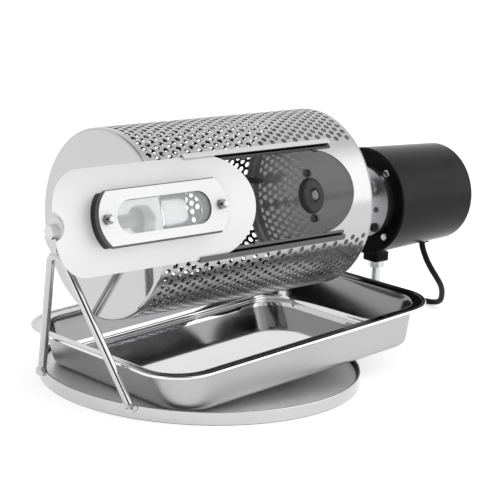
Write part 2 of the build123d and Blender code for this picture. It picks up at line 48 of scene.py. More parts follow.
c = Vector((-math.sin(CAM_AZ) * math.cos(CAM_EL), -math.cos(CAM_AZ) * math.cos(CAM_EL), math.sin(CAM_EL)))
fwd = -c
right = fwd.cross(Vector((0, 0, 1))).normalized()
up = right.cross(fwd)
r2 = math.cos(CAM_ROLL) * right + math.sin(CAM_ROLL) * up
u2 = -math.sin(CAM_ROLL) * right + math.cos(CAM_ROLL) * up
cam_data = bpy.data.cameras.new("camera")
cam_data.sensor_fit = "HORIZONTAL"
cam_data.sensor_width = 36.0
cam_data.lens = CAM_F * 36.0 / 500.0
cam_data.clip_start = 0.05
cam_data.clip_end = 60.0
cam = bpy.data.objects.new("camera", cam_data)
SCENE.collection.objects.link(cam)
m = Matrix((r2, u2, c)).transposed().to_4x4()
m.translation = CAM_T + c * CAM_D
cam.matrix_world = m
SCENE.camera = cam
SCENE.view_settings.view_transform = "Standard"
SCENE.view_settings.look = "None"

# ------------------------------------------------------------------ dimensions shared with the CAD model (mm)
AX_Z = 138.75
DRUM_R, DRUM_T, DRUM_XL, DRUM_XR = 75.0, 0.8, -106.2, 114.5
OPEN_A, OPEN_X0, OPEN_X1, OPEN_W = 18.0, -84.5, 95.7, 67.5
DOOR_R0, DOOR_R1, DOOR_HALF = 76.1, 77.1, 30.7
DOOR_XL, DOOR_XR, CORNER_TOP, CORNER_LOW, NOTCH_R, NOTCH_D = -207.2, -15.6, 37.0, 31.0, 10.8, 8.9
WIN_A, WIN_X, GLASS_L, GLASS_W = 17.5, -115.1, 89.0, 24.8
RAIL_X0, RAIL_X1, RAIL_OUT = -72.5, 84.0, 32.2
BASE_R, RIM_T, RIM_H = 132.5, 1.6, 10.8
TRAY = dict(x=30.7, y=-5.0, z=16.0, tilt=4.0, h=35.8, hx=150.6, hy=103.6, rr=40.5, tx=140.6, ty=91.9, tr=31.0,
            bx=130.5, by=91.5, br=28.0, t=0.8, f=5.0)
CORD_R = 2.75
COIL_X, COIL_Y = 255.0, 62.0


# ------------------------------------------------------------------ small helpers
def new_object(name, verts, faces, smooth=True):
    me = bpy.data.meshes.new(name)
    me.from_pydata([tuple(v) for v in verts], [], [tuple(f) for f in faces])
    me.update()
    if smooth:
        me.polygons.foreach_set("use_smooth", [True] * len(me.polygons))
    ob = bpy.data.objects.new(name, me)
    SCENE.collection.objects.link(ob)
    return ob


def sharp(ob, degrees=32.0):
    ob.data.set_sharp_from_angle(angle=math.radians(degrees))


class Mat:
    """Short-hand for building a node material round one Principled shader."""

    def __init__(self, name):
        self.mat = bpy.data.materials.new(name)
        self.mat.use_nodes = True
        self.nt = self.mat.node_tree
        self.p = next(n for n in self.nt.nodes if n.type == "BSDF_PRINCIPLED")
        self.co = self.nt.nodes.new("ShaderNodeTexCoord")

    def node(self, kind, **props):
        n = self.nt.nodes.new(kind)
        for k, v in props.items():
            setattr(n, k, v)
        return n

    def link(self, a, b):
        self.nt.links.new(a, b)

    def mapping(self, scale, rot=(0, 0, 0)):
        mp = self.node("ShaderNodeMapping")
        mp.inputs["Scale"].default_value = scale
        mp.inputs["Rotation"].default_value = rot
        self.link(self.co.outputs["Object"], mp.inputs["Vector"])
        return mp.outputs["Vector"]

    def noise(self, vec, scale, detail=3.0, rough=0.55):
        n = self.node("ShaderNodeTexNoise")
        n.inputs["Scale"].default_value = scale
        n.inputs["Detail"].default_value = detail
        n.inputs["Roughness"].default_value = rough
        self.link(vec, n.inputs["Vector"])
        return n.outputs["Fac"]

    def ramp(self, fac, lo, hi, a=0.3, b=0.7):
        r = self.node("ShaderNodeMapRange")
        r.inputs["From Min"].default_value = a
        r.inputs["From Max"].default_value = b
        r.inputs["To Min"].default_value = lo
        r.inputs["To Max"].default_value = hi
        self.link(fac, r.inputs["Value"])
        return r.outputs["Result"]

    def colour(self, fac, ca, cb):
        r = self.node("ShaderNodeMix", data_type="RGBA")
        r.inputs["A"].default_value = (*ca, 1)
        r.inputs["B"].default_value = (*cb, 1)
        self.link(fac, r.inputs["Factor"])
        return r.outputs["Result"]

    def bump(self, heights, distance):
        """Adds up several (height socket, strength) pairs into one chain."""
        prev = None
        for h, s in heights:
            b = self.node("ShaderNodeBump")
            b.inputs["Strength"].default_value = s
            b.inputs["Distance"].default_value = distance
            self.link(h, b.inputs["Height"])
            if prev is not None:
                self.link(prev, b.inputs["Normal"])
            prev = b.outputs["Normal"]
        self.link(prev, self.p.inputs["Normal"])

    def set(self, **kw):
        for k, v in kw.items():
            self.p.inputs[k.replace("_", " ")].default_value = v
        return self


def steel(name, tint, r_lo, r_hi, wave=0.0, grain=None, grain_s=0.0, smudge=9.0, metal=1.0):
    """Stainless sheet: faint smudges in the gloss, slow waviness of the sheet,
    and fine grain lines along one direction where it is brushed."""
    k = Mat(name)
    k.set(Metallic=metal, IOR=2.2 if metal == 1.0 else 1.5)
    obj = k.co.outputs["Object"]
    n1 = k.noise(obj, smudge, 5.0, 0.6)
    n2 = k.noise(k.mapping((1, 1, 1), (0.4, 0.9, 0.2)), smudge * 9, 4.0, 0.6)
    mixed = k.node("ShaderNodeMath", operation="MULTIPLY_ADD")
    k.link(n2, mixed.inputs[0])
    mixed.inputs[1].default_value = 0.45
    k.link(n1, mixed.inputs[2])
    k.link(k.ramp(mixed.outputs[0], r_lo, r_hi, 0.45, 1.0), k.p.inputs["Roughness"])
    dark = tuple(x * 0.93 for x in tint)
    k.link(k.colour(k.ramp(n1, 0, 1, 0.3, 0.75), tint, dark), k.p.inputs["Base Color"])
    hs = []
    if wave:
        hs.append((k.noise(obj, 16.0, 2.0, 0.4), wave))
    if grain:
        hs.append((k.noise(k.mapping(grain), 1.0, 3.0, 0.7), grain_s))
    if hs:
        k.bump(hs, 0.0006)
    return k.mat


def plastic(name, col, rough, bump_scale=900.0, bump_s=0.12, spec=0.5, coat=0.0):
    k = Mat(name)
    k.set(Roughness=rough)
    k.p.inputs["Specular IOR Level"].default_value = spec
    if coat:
        k.p.inputs["Coat Weight"].default_value = coat
        k.p.inputs["Coat Roughness"].default_value = 0.25
    obj = k.co.outputs["Object"]
    n1 = k.noise(obj, 25.0, 4.0, 0.6)
    k.link(k.colour(k.ramp(n1, 0, 1), col, tuple(min(1, x * 1.25 + 0.004) for x in col)), k.p.inputs["Base Color"])
    k.link(k.ramp(n1, rough * 0.9, min(1, rough * 1.15)), k.p.inputs["Roughness"])
    k.bump([(k.noise(obj, bump_scale, 2.0, 0.5), bump_s)], 0.0002)
    return k.mat


# ------------------------------------------------------------------ materials
M = {}
M["polished"] = steel("polished_steel", (0.58, 0.58, 0.585), 0.04, 0.09, wave=0.04)
M["rim"] = steel("rim_steel", (0.60, 0.60, 0.605), 0.10, 0.18, grain=(40, 40, 900), grain_s=0.02)
M["axle"] = steel("axle_steel", (0.64, 0.64, 0.64), 0.36, 0.46, metal=0.3)
M["cap"] = steel("cap_steel", (0.545, 0.545, 0.55), 0.04, 0.08, wave=0.02)
M["door"] = steel("door_steel", (0.62, 0.62, 0.62), 0.42, 0.50, metal=0.2)
M["shell"] = steel("shell_steel", (0.52, 0.52, 0.525), 0.19, 0.26, wave=0.02)
# painted shade: the inside of the drum shell is coloured nearly black
M["shell_inside"] = steel("shell_inside_steel", (0.045, 0.045, 0.045), 0.24, 0.32)
M["tray"] = steel("tray_steel", (0.76, 0.76, 0.765), 0.03, 0.06, wave=0.02)
# one pressed sheet: painted shade on the darker inner wall and outside copies, painted highlight on the lighter rolled
# edge copy
M["tray_side"] = steel("tray_side_steel", (0.29, 0.29, 0.293), 0.10, 0.16)
M["tray_wall"] = steel("tray_wall_steel", (0.51, 0.51, 0.515), 0.36, 0.44)
M["tray_roll"] = steel("tray_roll_steel", (0.86, 0.86, 0.865), 0.05, 0.1)
M["floor_plate"] = steel("plate_steel", (0.76, 0.76, 0.765), 0.36, 0.42, metal=0.75)
# painted shade: the drum's end plate is a darker copy of the steel for the shade inside the drum
M["end_plate"] = steel("end_plate_steel", (0.37, 0.37, 0.375), 0.125, 0.145, metal=0.5)
# painted shade for the rim's inner side and bottom edge
M["rim_dark"] = steel("rim_dark_steel", (0.03, 0.03, 0.03), 0.12, 0.20)
M["weld"] = steel("weld_steel", (0.62, 0.62, 0.62), 0.22, 0.34, wave=0.3)
M["hub"] = steel("hub_steel", (0.16, 0.16, 0.16), 0.24, 0.32, metal=0.6)
M["satin"] = steel("satin_steel", (0.55, 0.55, 0.555), 0.22, 0.32, grain=(8, 700, 700), grain_s=0.03)
M["rail"] = steel("rail_steel", (0.72, 0.72, 0.725), 0.16, 0.24)
M["dark_steel"] = steel("dark_steel", (0.14, 0.14, 0.145), 0.26, 0.36)
M["nut"] = steel("nut_steel", (0.20, 0.20, 0.20), 0.16, 0.24)
# painted reflection: the bottom rail is coloured dark for the dark tray below it that it mirrors
M["rail_low_dark_reflection"] = steel("rail_low_steel", (0.13, 0.13, 0.13), 0.14, 0.20)
M["zinc"] = steel("zinc_steel", (0.66, 0.67, 0.68), 0.16, 0.26, wave=0.05)
M["grey_metal"] = steel("grey_metal", (0.60, 0.60, 0.61), 0.34, 0.44)
M["bronze"] = steel("bronze", (0.52, 0.38, 0.22), 0.28, 0.4)
M["winding"] = steel("winding", (0.48, 0.22, 0.10), 0.3, 0.45, grain=(900, 60, 60), grain_s=0.5)
M["magnet"] = plastic("magnet", (0.05, 0.05, 0.055), 0.6)
M["black_paint"] = plastic("black_paint", (0.008, 0.008, 0.0085), 0.22, 1500.0, 0.0, 0.10)
M["black_matte"] = plastic("black_matte", (0.008, 0.008, 0.009), 0.38, 1500.0, 0.08, 0.4)
M["rubber"] = plastic("black_rubber", (0.006, 0.006, 0.006), 0.5, 1400.0, 0.1, 0.3)
M["cord"] = plastic("cord_jacket", (0.002, 0.002, 0.0022), 0.4, 1800.0, 0.06, 0.06)
M["black_deep"] = plastic("black_deep", (0.002, 0.002, 0.002), 0.4, 1500.0, 0.05, 0.06)

g = Mat("clear_glass")
g.set(Roughness=0.02, IOR=1.47)
g.p.inputs["Transmission Weight"].default_value = 0.90
g.p.inputs["Base Color"].default_value = (0.96, 0.98, 0.975, 1)
gn = g.noise(g.co.outputs["Object"], 30.0, 3.0, 0.5)
g.link(g.ramp(gn, 0.008, 0.035), g.p.inputs["Roughness"])
M["glass"] = g.mat

# tray flange: mirror-bright at the left end; painted reflection: its colour is dark along the front and the right,
# where the flange mirrors the dark drum underside and the motor
fl = Mat("tray_flange_steel")
fl.set(Metallic=1.0, Roughness=0.12, IOR=2.2)
flange_reflection_side = fl.node("ShaderNodeVectorMath", operation="DOT_PRODUCT")
fl.link(fl.co.outputs["Object"], flange_reflection_side.inputs[0])
flange_reflection_side.inputs[1].default_value = (1.0, -0.9, 0.0)
fl.link(fl.colour(fl.ramp(flange_reflection_side.outputs["Value"], 0, 1, -0.066, -0.036), (0.62, 0.62, 0.625), (0.045, 0.045, 0.046)), fl.p.inputs["Base Color"])
M["tray_flange"] = fl.mat

# rails: bright lip; painted shade: the channel under it is coloured dark by its radius from the drum axis
rm = bpy.data.materials["rail_steel"].copy()
rm.name = "rail_channel_steel"
rt = rm.node_tree
rp = next(n_ for n_ in rt.nodes if n_.type == "BSDF_PRINCIPLED")
lip = rp.inputs["Base Color"].links[0].from_socket
rx = rt.nodes.new("ShaderNodeTexCoord")
ra = rt.nodes.new("ShaderNodeVectorMath")
ra.operation = "MULTIPLY_ADD"
rt.links.new(rx.outputs["Object"], ra.inputs[0])
ra.inputs[1].default_value = (0, 1, 1)
ra.inputs[2].default_value = (0, 0, -AX_Z * MM)
rl = rt.nodes.new("ShaderNodeVectorMath")
rl.operation = "LENGTH"
rt.links.new(ra.outputs["Vector"], rl.inputs[0])
rr = rt.nodes.new("ShaderNodeMapRange")
rr.inputs["From Min"].default_value = 0.0766
rr.inputs["From Max"].default_value = 0.0776
rt.links.new(rl.outputs["Value"], rr.inputs["Value"])
# painted shade colour inside the channel, the lip's own colour outside it
channel_shade_mix = rt.nodes.new("ShaderNodeMix")
channel_shade_mix.data_type = "RGBA"
channel_shade_mix.inputs["A"].default_value = (0.07, 0.07, 0.07, 1)
rt.links.new(rr.outputs["Result"], channel_shade_mix.inputs["Factor"])
rt.links.new(lip, channel_shade_mix.inputs["B"])
rt.links.new(channel_shade_mix.outputs["Result"], rp.inputs["Base Color"])
M["rail_shaded_channel"] = rm

# painted shade: the plate's outer edge is coloured dark as the shadowed seam behind the rim
fp = M["floor_plate"].node_tree
bc = [n for n in fp.nodes if n.type == "BSDF_PRINCIPLED"][0].inputs["Base Color"]
src = bc.links[0].from_socket
ftx = fp.nodes.new("ShaderNodeTexCoord")
flat = fp.nodes.new("ShaderNodeVectorMath")
flat.operation = "MULTIPLY"
fp.links.new(ftx.outputs["Object"], flat.inputs[0])
flat.inputs[1].default_value = (1, 1, 0)
fl = fp.nodes.new("ShaderNodeVectorMath")
fl.operation = "LENGTH"
fp.links.new(flat.outputs["Vector"], fl.inputs[0])
fr = fp.nodes.new("ShaderNodeMapRange")
fr.inputs["From Min"].default_value = 0.1286
fr.inputs["From Max"].default_value = 0.1292
fp.links.new(fl.outputs["Value"], fr.inputs["Value"])
plate_seam_shade_mix = fp.nodes.new("ShaderNodeMix")
plate_seam_shade_mix.data_type = "RGBA"
fp.links.new(fr.outputs["Result"], plate_seam_shade_mix.inputs["Factor"])
fp.links.new(src, [s for s in plate_seam_shade_mix.inputs if s.name == "A" and s.type == "RGBA"][0])
[s for s in plate_seam_shade_mix.inputs if s.name == "B" and s.type == "RGBA"][0].default_value = (0.03, 0.03, 0.03, 1)
fp.links.new([s for s in plate_seam_shade_mix.outputs if s.type == "RGBA"][0], bc)

# window frame, painted shade: the rolled-over sides of the plate, which face away from its polished face, are coloured
# dark
fm = bpy.data.materials["door_steel"].copy()
fm.name = "frame_steel"
nt = fm.node_tree
pr = next(n_ for n_ in nt.nodes if n_.type == "BSDF_PRINCIPLED")
face = pr.inputs["Base Color"].links[0].from_socket
tx = nt.nodes.new("ShaderNodeTexCoord")
dt = nt.nodes.new("ShaderNodeVectorMath")
dt.operation = "DOT_PRODUCT"
nt.links.new(tx.outputs["Normal"], dt.inputs[0])
dt.inputs[1].default_value = (0, -math.cos(math.radians(WIN_A)), math.sin(math.radians(WIN_A)))
mr = nt.nodes.new("ShaderNodeMapRange")
mr.inputs["From Min"].default_value = 0.35
mr.inputs["From Max"].default_value = 0.75
nt.links.new(dt.outputs["Value"], mr.inputs["Value"])
frame_edge_shade_mix = nt.nodes.new("ShaderNodeMix")
frame_edge_shade_mix.data_type = "RGBA"
frame_edge_shade_mix.inputs["A"].default_value = (0.06, 0.06, 0.06, 1)
# painted shade: thin dark line where the long edges are turned down
tv = nt.nodes.new("ShaderNodeVectorMath")
tv.operation = "DOT_PRODUCT"
nt.links.new(tx.outputs["Object"], tv.inputs[0])
tv.inputs[1].default_value = (0, math.sin(math.radians(WIN_A)), math.cos(math.radians(WIN_A)))
tm = nt.nodes.new("ShaderNodeMath")
tm.operation = "SUBTRACT"
nt.links.new(tv.outputs["Value"], tm.inputs[0])
tm.inputs[1].default_value = AX_Z * MM * math.cos(math.radians(WIN_A)) + 0.0004
ta = nt.nodes.new("ShaderNodeMath")
ta.operation = "ABSOLUTE"
nt.links.new(tm.outputs[0], ta.inputs[0])
te = nt.nodes.new("ShaderNodeMapRange")
te.inputs["From Min"].default_value = 0.0197
te.inputs["From Max"].default_value = 0.0201
te.inputs["To Min"].default_value = 1.0
te.inputs["To Max"].default_value = 0.0
nt.links.new(ta.outputs[0], te.inputs["Value"])
frame_edge_shade_mask = nt.nodes.new("ShaderNodeMath")
frame_edge_shade_mask.operation = "MULTIPLY"
nt.links.new(mr.outputs["Result"], frame_edge_shade_mask.inputs[0])
nt.links.new(te.outputs["Result"], frame_edge_shade_mask.inputs[1])
nt.links.new(frame_edge_shade_mask.outputs[0], frame_edge_shade_mix.inputs["Factor"])
nt.links.new(face, frame_edge_shade_mix.inputs["B"])
nt.links.new(frame_edge_shade_mix.outputs["Result"], pr.inputs["Base Color"])
M["frame"] = fm

PAINT = {
    "base_rim": "rim", "base_plate": "floor_plate", "base_bottom_plate": "satin", "left_leg_rod": "polished",
    "left_bearing_bracket": "polished", "support_arm": "satin", "motor_post": "zinc", "post_nuts": "zinc",
    "motor_cover": "black_paint", "motor_bracket": "black_deep", "gearmotor_housing": "grey_metal", "gearmotor_front_plate": "grey_metal",
    "shaft_bushing": "grey_metal", "face_rivets": "dark_steel", "bracket_screws": "zinc", "gearbox_plate": "grey_metal", "gear_pin": "zinc",
    "stator_coil": "winding", "output_gear": "grey_metal", "intermediate_gear": "grey_metal", "rotor_shaft": "zinc", "rotor_magnet": "magnet",
    "drum_shell": "shell", "left_end_cap": "cap", "right_end_plate": "end_plate", "left_axle": "axle", "axle_collar": "axle",
    "drive_hub": "hub", "hub_screws": "dark_steel", "face_knob": "black_matte", "drive_coupling": "black_matte", "output_shaft": "zinc",
    "stirring_vane": "dark_steel", "top_rail": "rail_shaded_channel", "bottom_rail": "rail_low_dark_reflection", "door_panel": "door", "window_frame": "frame",
    "window_gasket": "rubber", "window_glass": "glass", "window_screws": "zinc", "window_nuts": "nut", "tray_pan": "tray",
    "cord_gland": "rubber", "cord_tube": "cord", "cord_tail": "cord", "cord_coil": "cord", "cord_tie": "black_matte",
    "plug_body": "black_matte", "plug_pins": "zinc",
}
for name, ob in NODES.items():
    ob.data.materials.clear()
    ob.data.materials.append(M[PAINT[name]])

# ------------------------------------------------------------------ cord
LEAD = [(274.4, 6.0, 79.0), (274.4, 6.0, 76.0), (276.6, 6.0, 70.8), (279.7, 6.0, 65.0), (284.2, 6.0, 57.9),
        (291.2, 6.2, 49.4), (300.0, 7.0, 40.4), (312.0, 11.0, 30.4), (323.0, 18.0, 19.5), (333.0, 28.0, 7.5),
        (337.0, 42.0, 2.75), (334.0, 62.0, 2.75), (322.0, 82.0, 2.75), (301.0, 93.0, 3.0),
        (277.5, 97.5, 3.35)]
TAIL = [(290.5, 70.0, 8.95), (290.5, 85.0, 9.6), (290.5, 99.0, 9.6), (290.5, 110.0, 7.0), (290.5, 119.0, 7.0)]


def coil_points():
    """Two flat layers: wound inward on the floor, up at the inside, outward on top."""
    pts, per, gap = [], 16, 5.62
    r_out, r_in, z1, z2 = 35.7, 35.7 - 2 * gap, 3.35, 8.95
    grow = 1.012
    for k in range(0, int(4.75 * per) + 1):
        turn = k / per
        if turn <= 2.0:
            r, z = r_out - gap * turn, z1
        elif turn <= 2.75:
            f = turn - 2.0
            dr = gap * (1 - f)
            r, z = r_in, z1 + math.sqrt(max(0.0, gap * gap - dr * dr))
        else:
            r, z = r_in + gap * (turn - 2.75), z2
        a = math.radians(90) + turn * 2 * math.pi
        pts.append((COIL_X + r * grow * math.cos(a), COIL_Y + r * grow * math.sin(a), z))
    return pts


def cord_curve(name, points, radius):
    cu = bpy.data.curves.new(name, "CURVE")
    cu.dimensions = "3D"
    sp = cu.splines.new("NURBS")
    sp.points.add(len(points) - 1)
    for p, q in zip(sp.points, points):
        p.co = (q[0] * MM, q[1] * MM, q[2] * MM, 1.0)
    sp.order_u = 3
    sp.use_endpoint_u = True
    sp.resolution_u = 8
    cu.bevel_depth = radius * MM
    cu.bevel_resolution = 5
    cu.use_fill_caps = True
    ob = bpy.data.objects.new(name, cu)
    SCENE.collection.objects.link(ob)
    cu.materials.append(M["cord"])
    return ob


cord = cord_curve("mains_cord", LEAD + coil_points()[1:] + TAIL, CORD_R)
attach(cord, "frame")
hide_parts("cord_tube", "cord_coil", "cord_tail")


# ------------------------------------------------------------------ sheets rolled round the drum axis
def chord_to_sheet(x, t, a0, r):
    """Point of a flat outline seen along direction a0, as (x, arc length) on radius r."""
    return (x, r * (math.radians(a0) + math.asin(max(-1, min(1, t / r)))))


def stadium(cx, length, width, n=28):
    r = width / 2
    x0, x1 = cx - length / 2 + r, cx + length / 2 - r
    pts = []
    for k in range(n + 1):
        a = -math.pi / 2 + math.pi * k / n
        pts.append((x1 + r * math.cos(a), r * math.sin(a)))
    m_ = max(2, int((x1 - x0) / 3))
    for k in range(1, m_):
        pts.append((x1 + (x0 - x1) * k / m_, r))
    for k in range(n + 1):
        a = math.pi / 2 + math.pi * k / n
        pts.append((x0 + r * math.cos(a), r * math.sin(a)))
    for k in range(1, m_):
        pts.append((x0 + (x1 - x0) * k / m_, -r))
    return pts


def dense(poly, step):
    out = []
    for k, p in enumerate(poly):
        q = poly[(k + 1) % len(poly)]
        n = max(1, int(math.dist(p, q) / step))
        out += [(p[0] + (q[0] - p[0]) * i / n, p[1] + (q[1] - p[1]) * i / n) for i in range(n)]
    return out


def inside(poly, pts):
    p = np.asarray(poly)
    q = np.asarray(pts)
    x, y = q[:, 0], q[:, 1]
    res = np.zeros(len(q), bool)
    j = len(p) - 1
    for i in range(len(p)):
        xi, yi, xj, yj = p[i, 0], p[i, 1], p[j, 0], p[j, 1]
        hit = ((yi > y) != (yj > y)) & (x < (xj - xi) * (y - yi) / (yj - yi + 1e-12) + xi)
        res ^= hit
        j = i
    return res


def rolled_sheet(name, outline, cuts, rounds, r_round, r_out, r_in, step, n_round=14):
    """Sheet given on the unrolled surface of radius r_out: an outline, large cut-outs,
    and round holes; rolled round the drum axis and given its thickness."""
    pts, edges = [], []

    def loop(poly):
        k = len(pts)
        pts.extend(poly)
        edges.extend((k + i, k + (i + 1) % len(poly)) for i in range(len(poly)))

    loop(outline)
    for c_ in cuts:
        loop(c_)
    for cx, cs in rounds:
        loop([(cx + r_round * math.cos(2 * math.pi * (i + 0.5) / n_round), cs + r_round * math.sin(2 * math.pi * (i + 0.5) / n_round)) for i in range(n_round)])
    kd = kdtree.KDTree(max(1, len(rounds)))
    for i, (cx, cs) in enumerate(rounds):
        kd.insert((cx, cs, 0), i)
    kd.balance()
    edge_kd = kdtree.KDTree(len(outline) + sum(len(c_) for c_ in cuts))
    i = 0
    for poly in [outline] + list(cuts):
        for p in poly:
            edge_kd.insert((p[0], p[1], 0), i)
            i += 1
    edge_kd.balance()
    o = np.asarray(outline)
    gx = np.arange(o[:, 0].min() + step / 2, o[:, 0].max(), step)
    gs = np.arange(o[:, 1].min() + step / 2, o[:, 1].max(), step)
    grid = [(float(x), float(s)) for x in gx for s in gs]
    ok = inside(outline, grid)
    for c_ in cuts:
        ok &= ~inside(c_, grid)
    for p, good in zip(grid, ok):
        if not good or edge_kd.find((p[0], p[1], 0))[2] < step * 0.55:
            continue
        if rounds and kd.find((p[0], p[1], 0))[2] < r_round + step * 0.45:
            continue
        pts.append(p)
    v2, _, f2, _, _, _ = delaunay_2d_cdt([Vector(p) for p in pts], edges, [], 0, 1e-6)
    v2 = np.array([(v[0], v[1]) for v in v2])
    f2 = np.array([tuple(f) for f in f2 if len(f) == 3], int)
    cen = v2[f2].mean(axis=1)
    keep = inside(outline, cen)
    for c_ in cuts:
        keep &= ~inside(c_, cen)
    if rounds:
        lim = r_round * math.cos(math.pi / n_round) * 0.999
        keep &= np.array([kd.find((p[0], p[1], 0))[2] > lim for p in cen])
    f2 = f2[keep]
    a, b, d = v2[f2[:, 0]], v2[f2[:, 1]], v2[f2[:, 2]]
    area = (b[:, 0] - a[:, 0]) * (d[:, 1] - a[:, 1]) - (b[:, 1] - a[:, 1]) * (d[:, 0] - a[:, 0])
    f2 = f2[np.abs(area) > 1e-7]
    area = area[np.abs(area) > 1e-7]
    f2[area < 0] = f2[area < 0][:, ::-1]
    used = np.unique(f2)
    idx = -np.ones(len(v2), int)
    idx[used] = np.arange(len(used))
    f2 = idx[f2]
    v2 = v2[used]
    phi = v2[:, 1] / r_out
    rad = np.stack([np.zeros(len(phi)), -np.cos(phi), np.sin(phi)], axis=1)
    base = np.stack([v2[:, 0], np.zeros(len(phi)), np.full(len(phi), AX_Z)], axis=1)
    vo = (base + rad * r_out) * MM
    vi = (base + rad * r_in) * MM
    n = len(v2)
    seen = {}
    for f in f2:
        for k in range(3):
            e = (int(f[k]), int(f[(k + 1) % 3]))
            if (e[1], e[0]) in seen:
                del seen[(e[1], e[0])]
            else:
                seen[e] = True
    # (x, arc) maps to a left-handed pair on the outside, so the outer faces are flipped
    outer = [tuple(int(t) for t in f[::-1]) for f in f2]
    inner = [tuple(int(t) + n for t in f) for f in f2]
    walls = [(e[0], e[1], e[1] + n, e[0] + n) for e in seen]
    faces = outer + inner + walls
    ob = new_object(name, np.vstack([vo, vi]), faces)
    me = ob.data
    # make sure that the outside faces out
    p0 = me.polygons[0]
    if Vector(p0.normal).dot(Vector(rad[outer[0][0]])) < 0:
        me.flip_normals()
    normals = np.zeros((len(me.loops), 3))
    vidx = np.zeros(len(me.loops), int)
    me.loops.foreach_get("vertex_index", vidx)
    starts = np.array([p.loop_start for p in me.polygons])
    totals = np.array([p.loop_total for p in me.polygons])
    pn = np.array([tuple(p.normal) for p in me.polygons])
    owner = np.repeat(np.arange(len(starts)), totals)
    kind = np.array([0] * len(outer) + [1] * len(inner) + [2] * len(walls))[owner]
    normals[kind == 0] = rad[vidx[kind == 0] % n]
    normals[kind == 1] = -rad[vidx[kind == 1] % n]
    normals[kind == 2] = pn[owner[kind == 2]]
    me.normals_split_custom_set([tuple(v) for v in normals])
    me.polygons.foreach_set("material_index", [0] * len(outer) + [1] * len(inner) + [0] * len(walls))
    return ob


# perforated shell
half = math.pi * DRUM_R
s_mid = DRUM_R * math.radians(OPEN_A)
shell_outline = dense([(DRUM_XL, s_mid - half), (DRUM_XR, s_mid - half), (DRUM_XR, s_mid + half), (DRUM_XL, s_mid + half)], 3.0)
opening = [chord_to_sheet(x, t, OPEN_A, DRUM_R) for x, t in stadium((OPEN_X0 + OPEN_X1) / 2, OPEN_X1 - OPEN_X0, OPEN_W)]
HOLE_R, PITCH_X, N_ROUND = 2.5, 6.35, 65
pitch_s = 2 * half / N_ROUND
open_kd = kdtree.KDTree(len(opening))
for i, p in enumerate(opening):
    open_kd.insert((p[0], p[1], 0), i)
open_kd.balance()
holes = []
col = 0
x = DRUM_XL + 6.6
while x < DRUM_XR - 4.0:
    for k in range(N_ROUND):
        s = s_mid - half + (k + (0.5 if col % 2 else 0.0)) * pitch_s
        if s < s_mid - half + HOLE_R + 0.8 or s > s_mid + half - HOLE_R - 0.8:
            continue
        ang = abs(s - s_mid) / DRUM_R * 180 / math.pi
        if ang < (RAIL_OUT + 1.6 if RAIL_X0 - 3 < x < RAIL_X1 + 3 else RAIL_OUT - 1.0):
            continue
        holes.append((x, s))
    x += PITCH_X
    col += 1
hx = np.array(holes)
in_open = inside(opening, holes)
holes = [h for h, bad in zip(holes, in_open) if not bad and open_kd.find((h[0], h[1], 0))[2] > HOLE_R + 3.0]
shell = rolled_sheet("drum_shell_perforated", shell_outline, [opening], holes, HOLE_R, DRUM_R, DRUM_R - DRUM_T, 4.0)
shell.data.materials.append(M["shell"])
shell.data.materials.append(M["shell_inside"])
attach(shell, "drum")
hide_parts("drum_shell")

# door panel
chord = DOOR_R1 * math.sin(math.radians(DOOR_HALF))


def door_outline():
    pts = []
    n = 40
    for k in range(n + 1):
        a = -math.pi / 2 + math.pi * k / n
        pts.append((DOOR_XR - chord + chord * math.cos(a), chord * math.sin(a)))
    nc = DOOR_XL + NOTCH_D - NOTCH_R
    top = (DOOR_XL + CORNER_TOP, chord - CORNER_TOP)
    low = (DOOR_XL + CORNER_LOW, -chord + CORNER_LOW)

    def meet(c, r, side):
        # where the notch's circle crosses a corner's circle
        dx, dy = c[0] - nc, c[1]
        d = math.hypot(dx, dy)
        m = (NOTCH_R ** 2 - r ** 2 + d * d) / (2 * d)
        h = math.sqrt(NOTCH_R ** 2 - m * m)
        both = [(nc + m * dx / d - s * h * dy / d, m * dy / d + s * h * dx / d) for s in (1, -1)]
        return max(both, key=lambda q: side * q[1])

    p_top, p_low = meet(top, CORNER_TOP, 1), meet(low, CORNER_LOW, -1)
    a1 = math.atan2(p_top[1] - top[1], p_top[0] - top[0]) % (2 * math.pi)
    for k in range(25):
        a = math.pi / 2 + (a1 - math.pi / 2) * k / 24
        pts.append((top[0] + CORNER_TOP * math.cos(a), top[1] + CORNER_TOP * math.sin(a)))
    a2 = math.atan2(p_top[1], p_top[0] - nc)
    a3 = math.atan2(p_low[1], p_low[0] - nc)
    for k in range(1, 24):
        a = a2 + (a3 - a2) * k / 24
        pts.append((nc + NOTCH_R * math.cos(a), NOTCH_R * math.sin(a)))
    a4 = math.atan2(p_low[1] - low[1], p_low[0] - low[0]) % (2 * math.pi)
    for k in range(25):
        a = a4 + (1.5 * math.pi - a4) * k / 24
        pts.append((low[0] + CORNER_LOW * math.cos(a), low[1] + CORNER_LOW * math.sin(a)))
    return dense(pts, 3.0)


door_poly = [chord_to_sheet(x, t, OPEN_A, DOOR_R1) for x, t in door_outline()]
door_win = [chord_to_sheet(x, t, WIN_A, DOOR_R1) for x, t in stadium(WIN_X, GLASS_L, GLASS_W)]
door = rolled_sheet("door_panel_sheet", door_poly, [door_win], [], 1.0, DOOR_R1, DOOR_R0, 4.0)
door.data.materials.append(M["door"])
door.data.materials.append(M["satin"])
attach(door, "door")
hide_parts("door_panel")


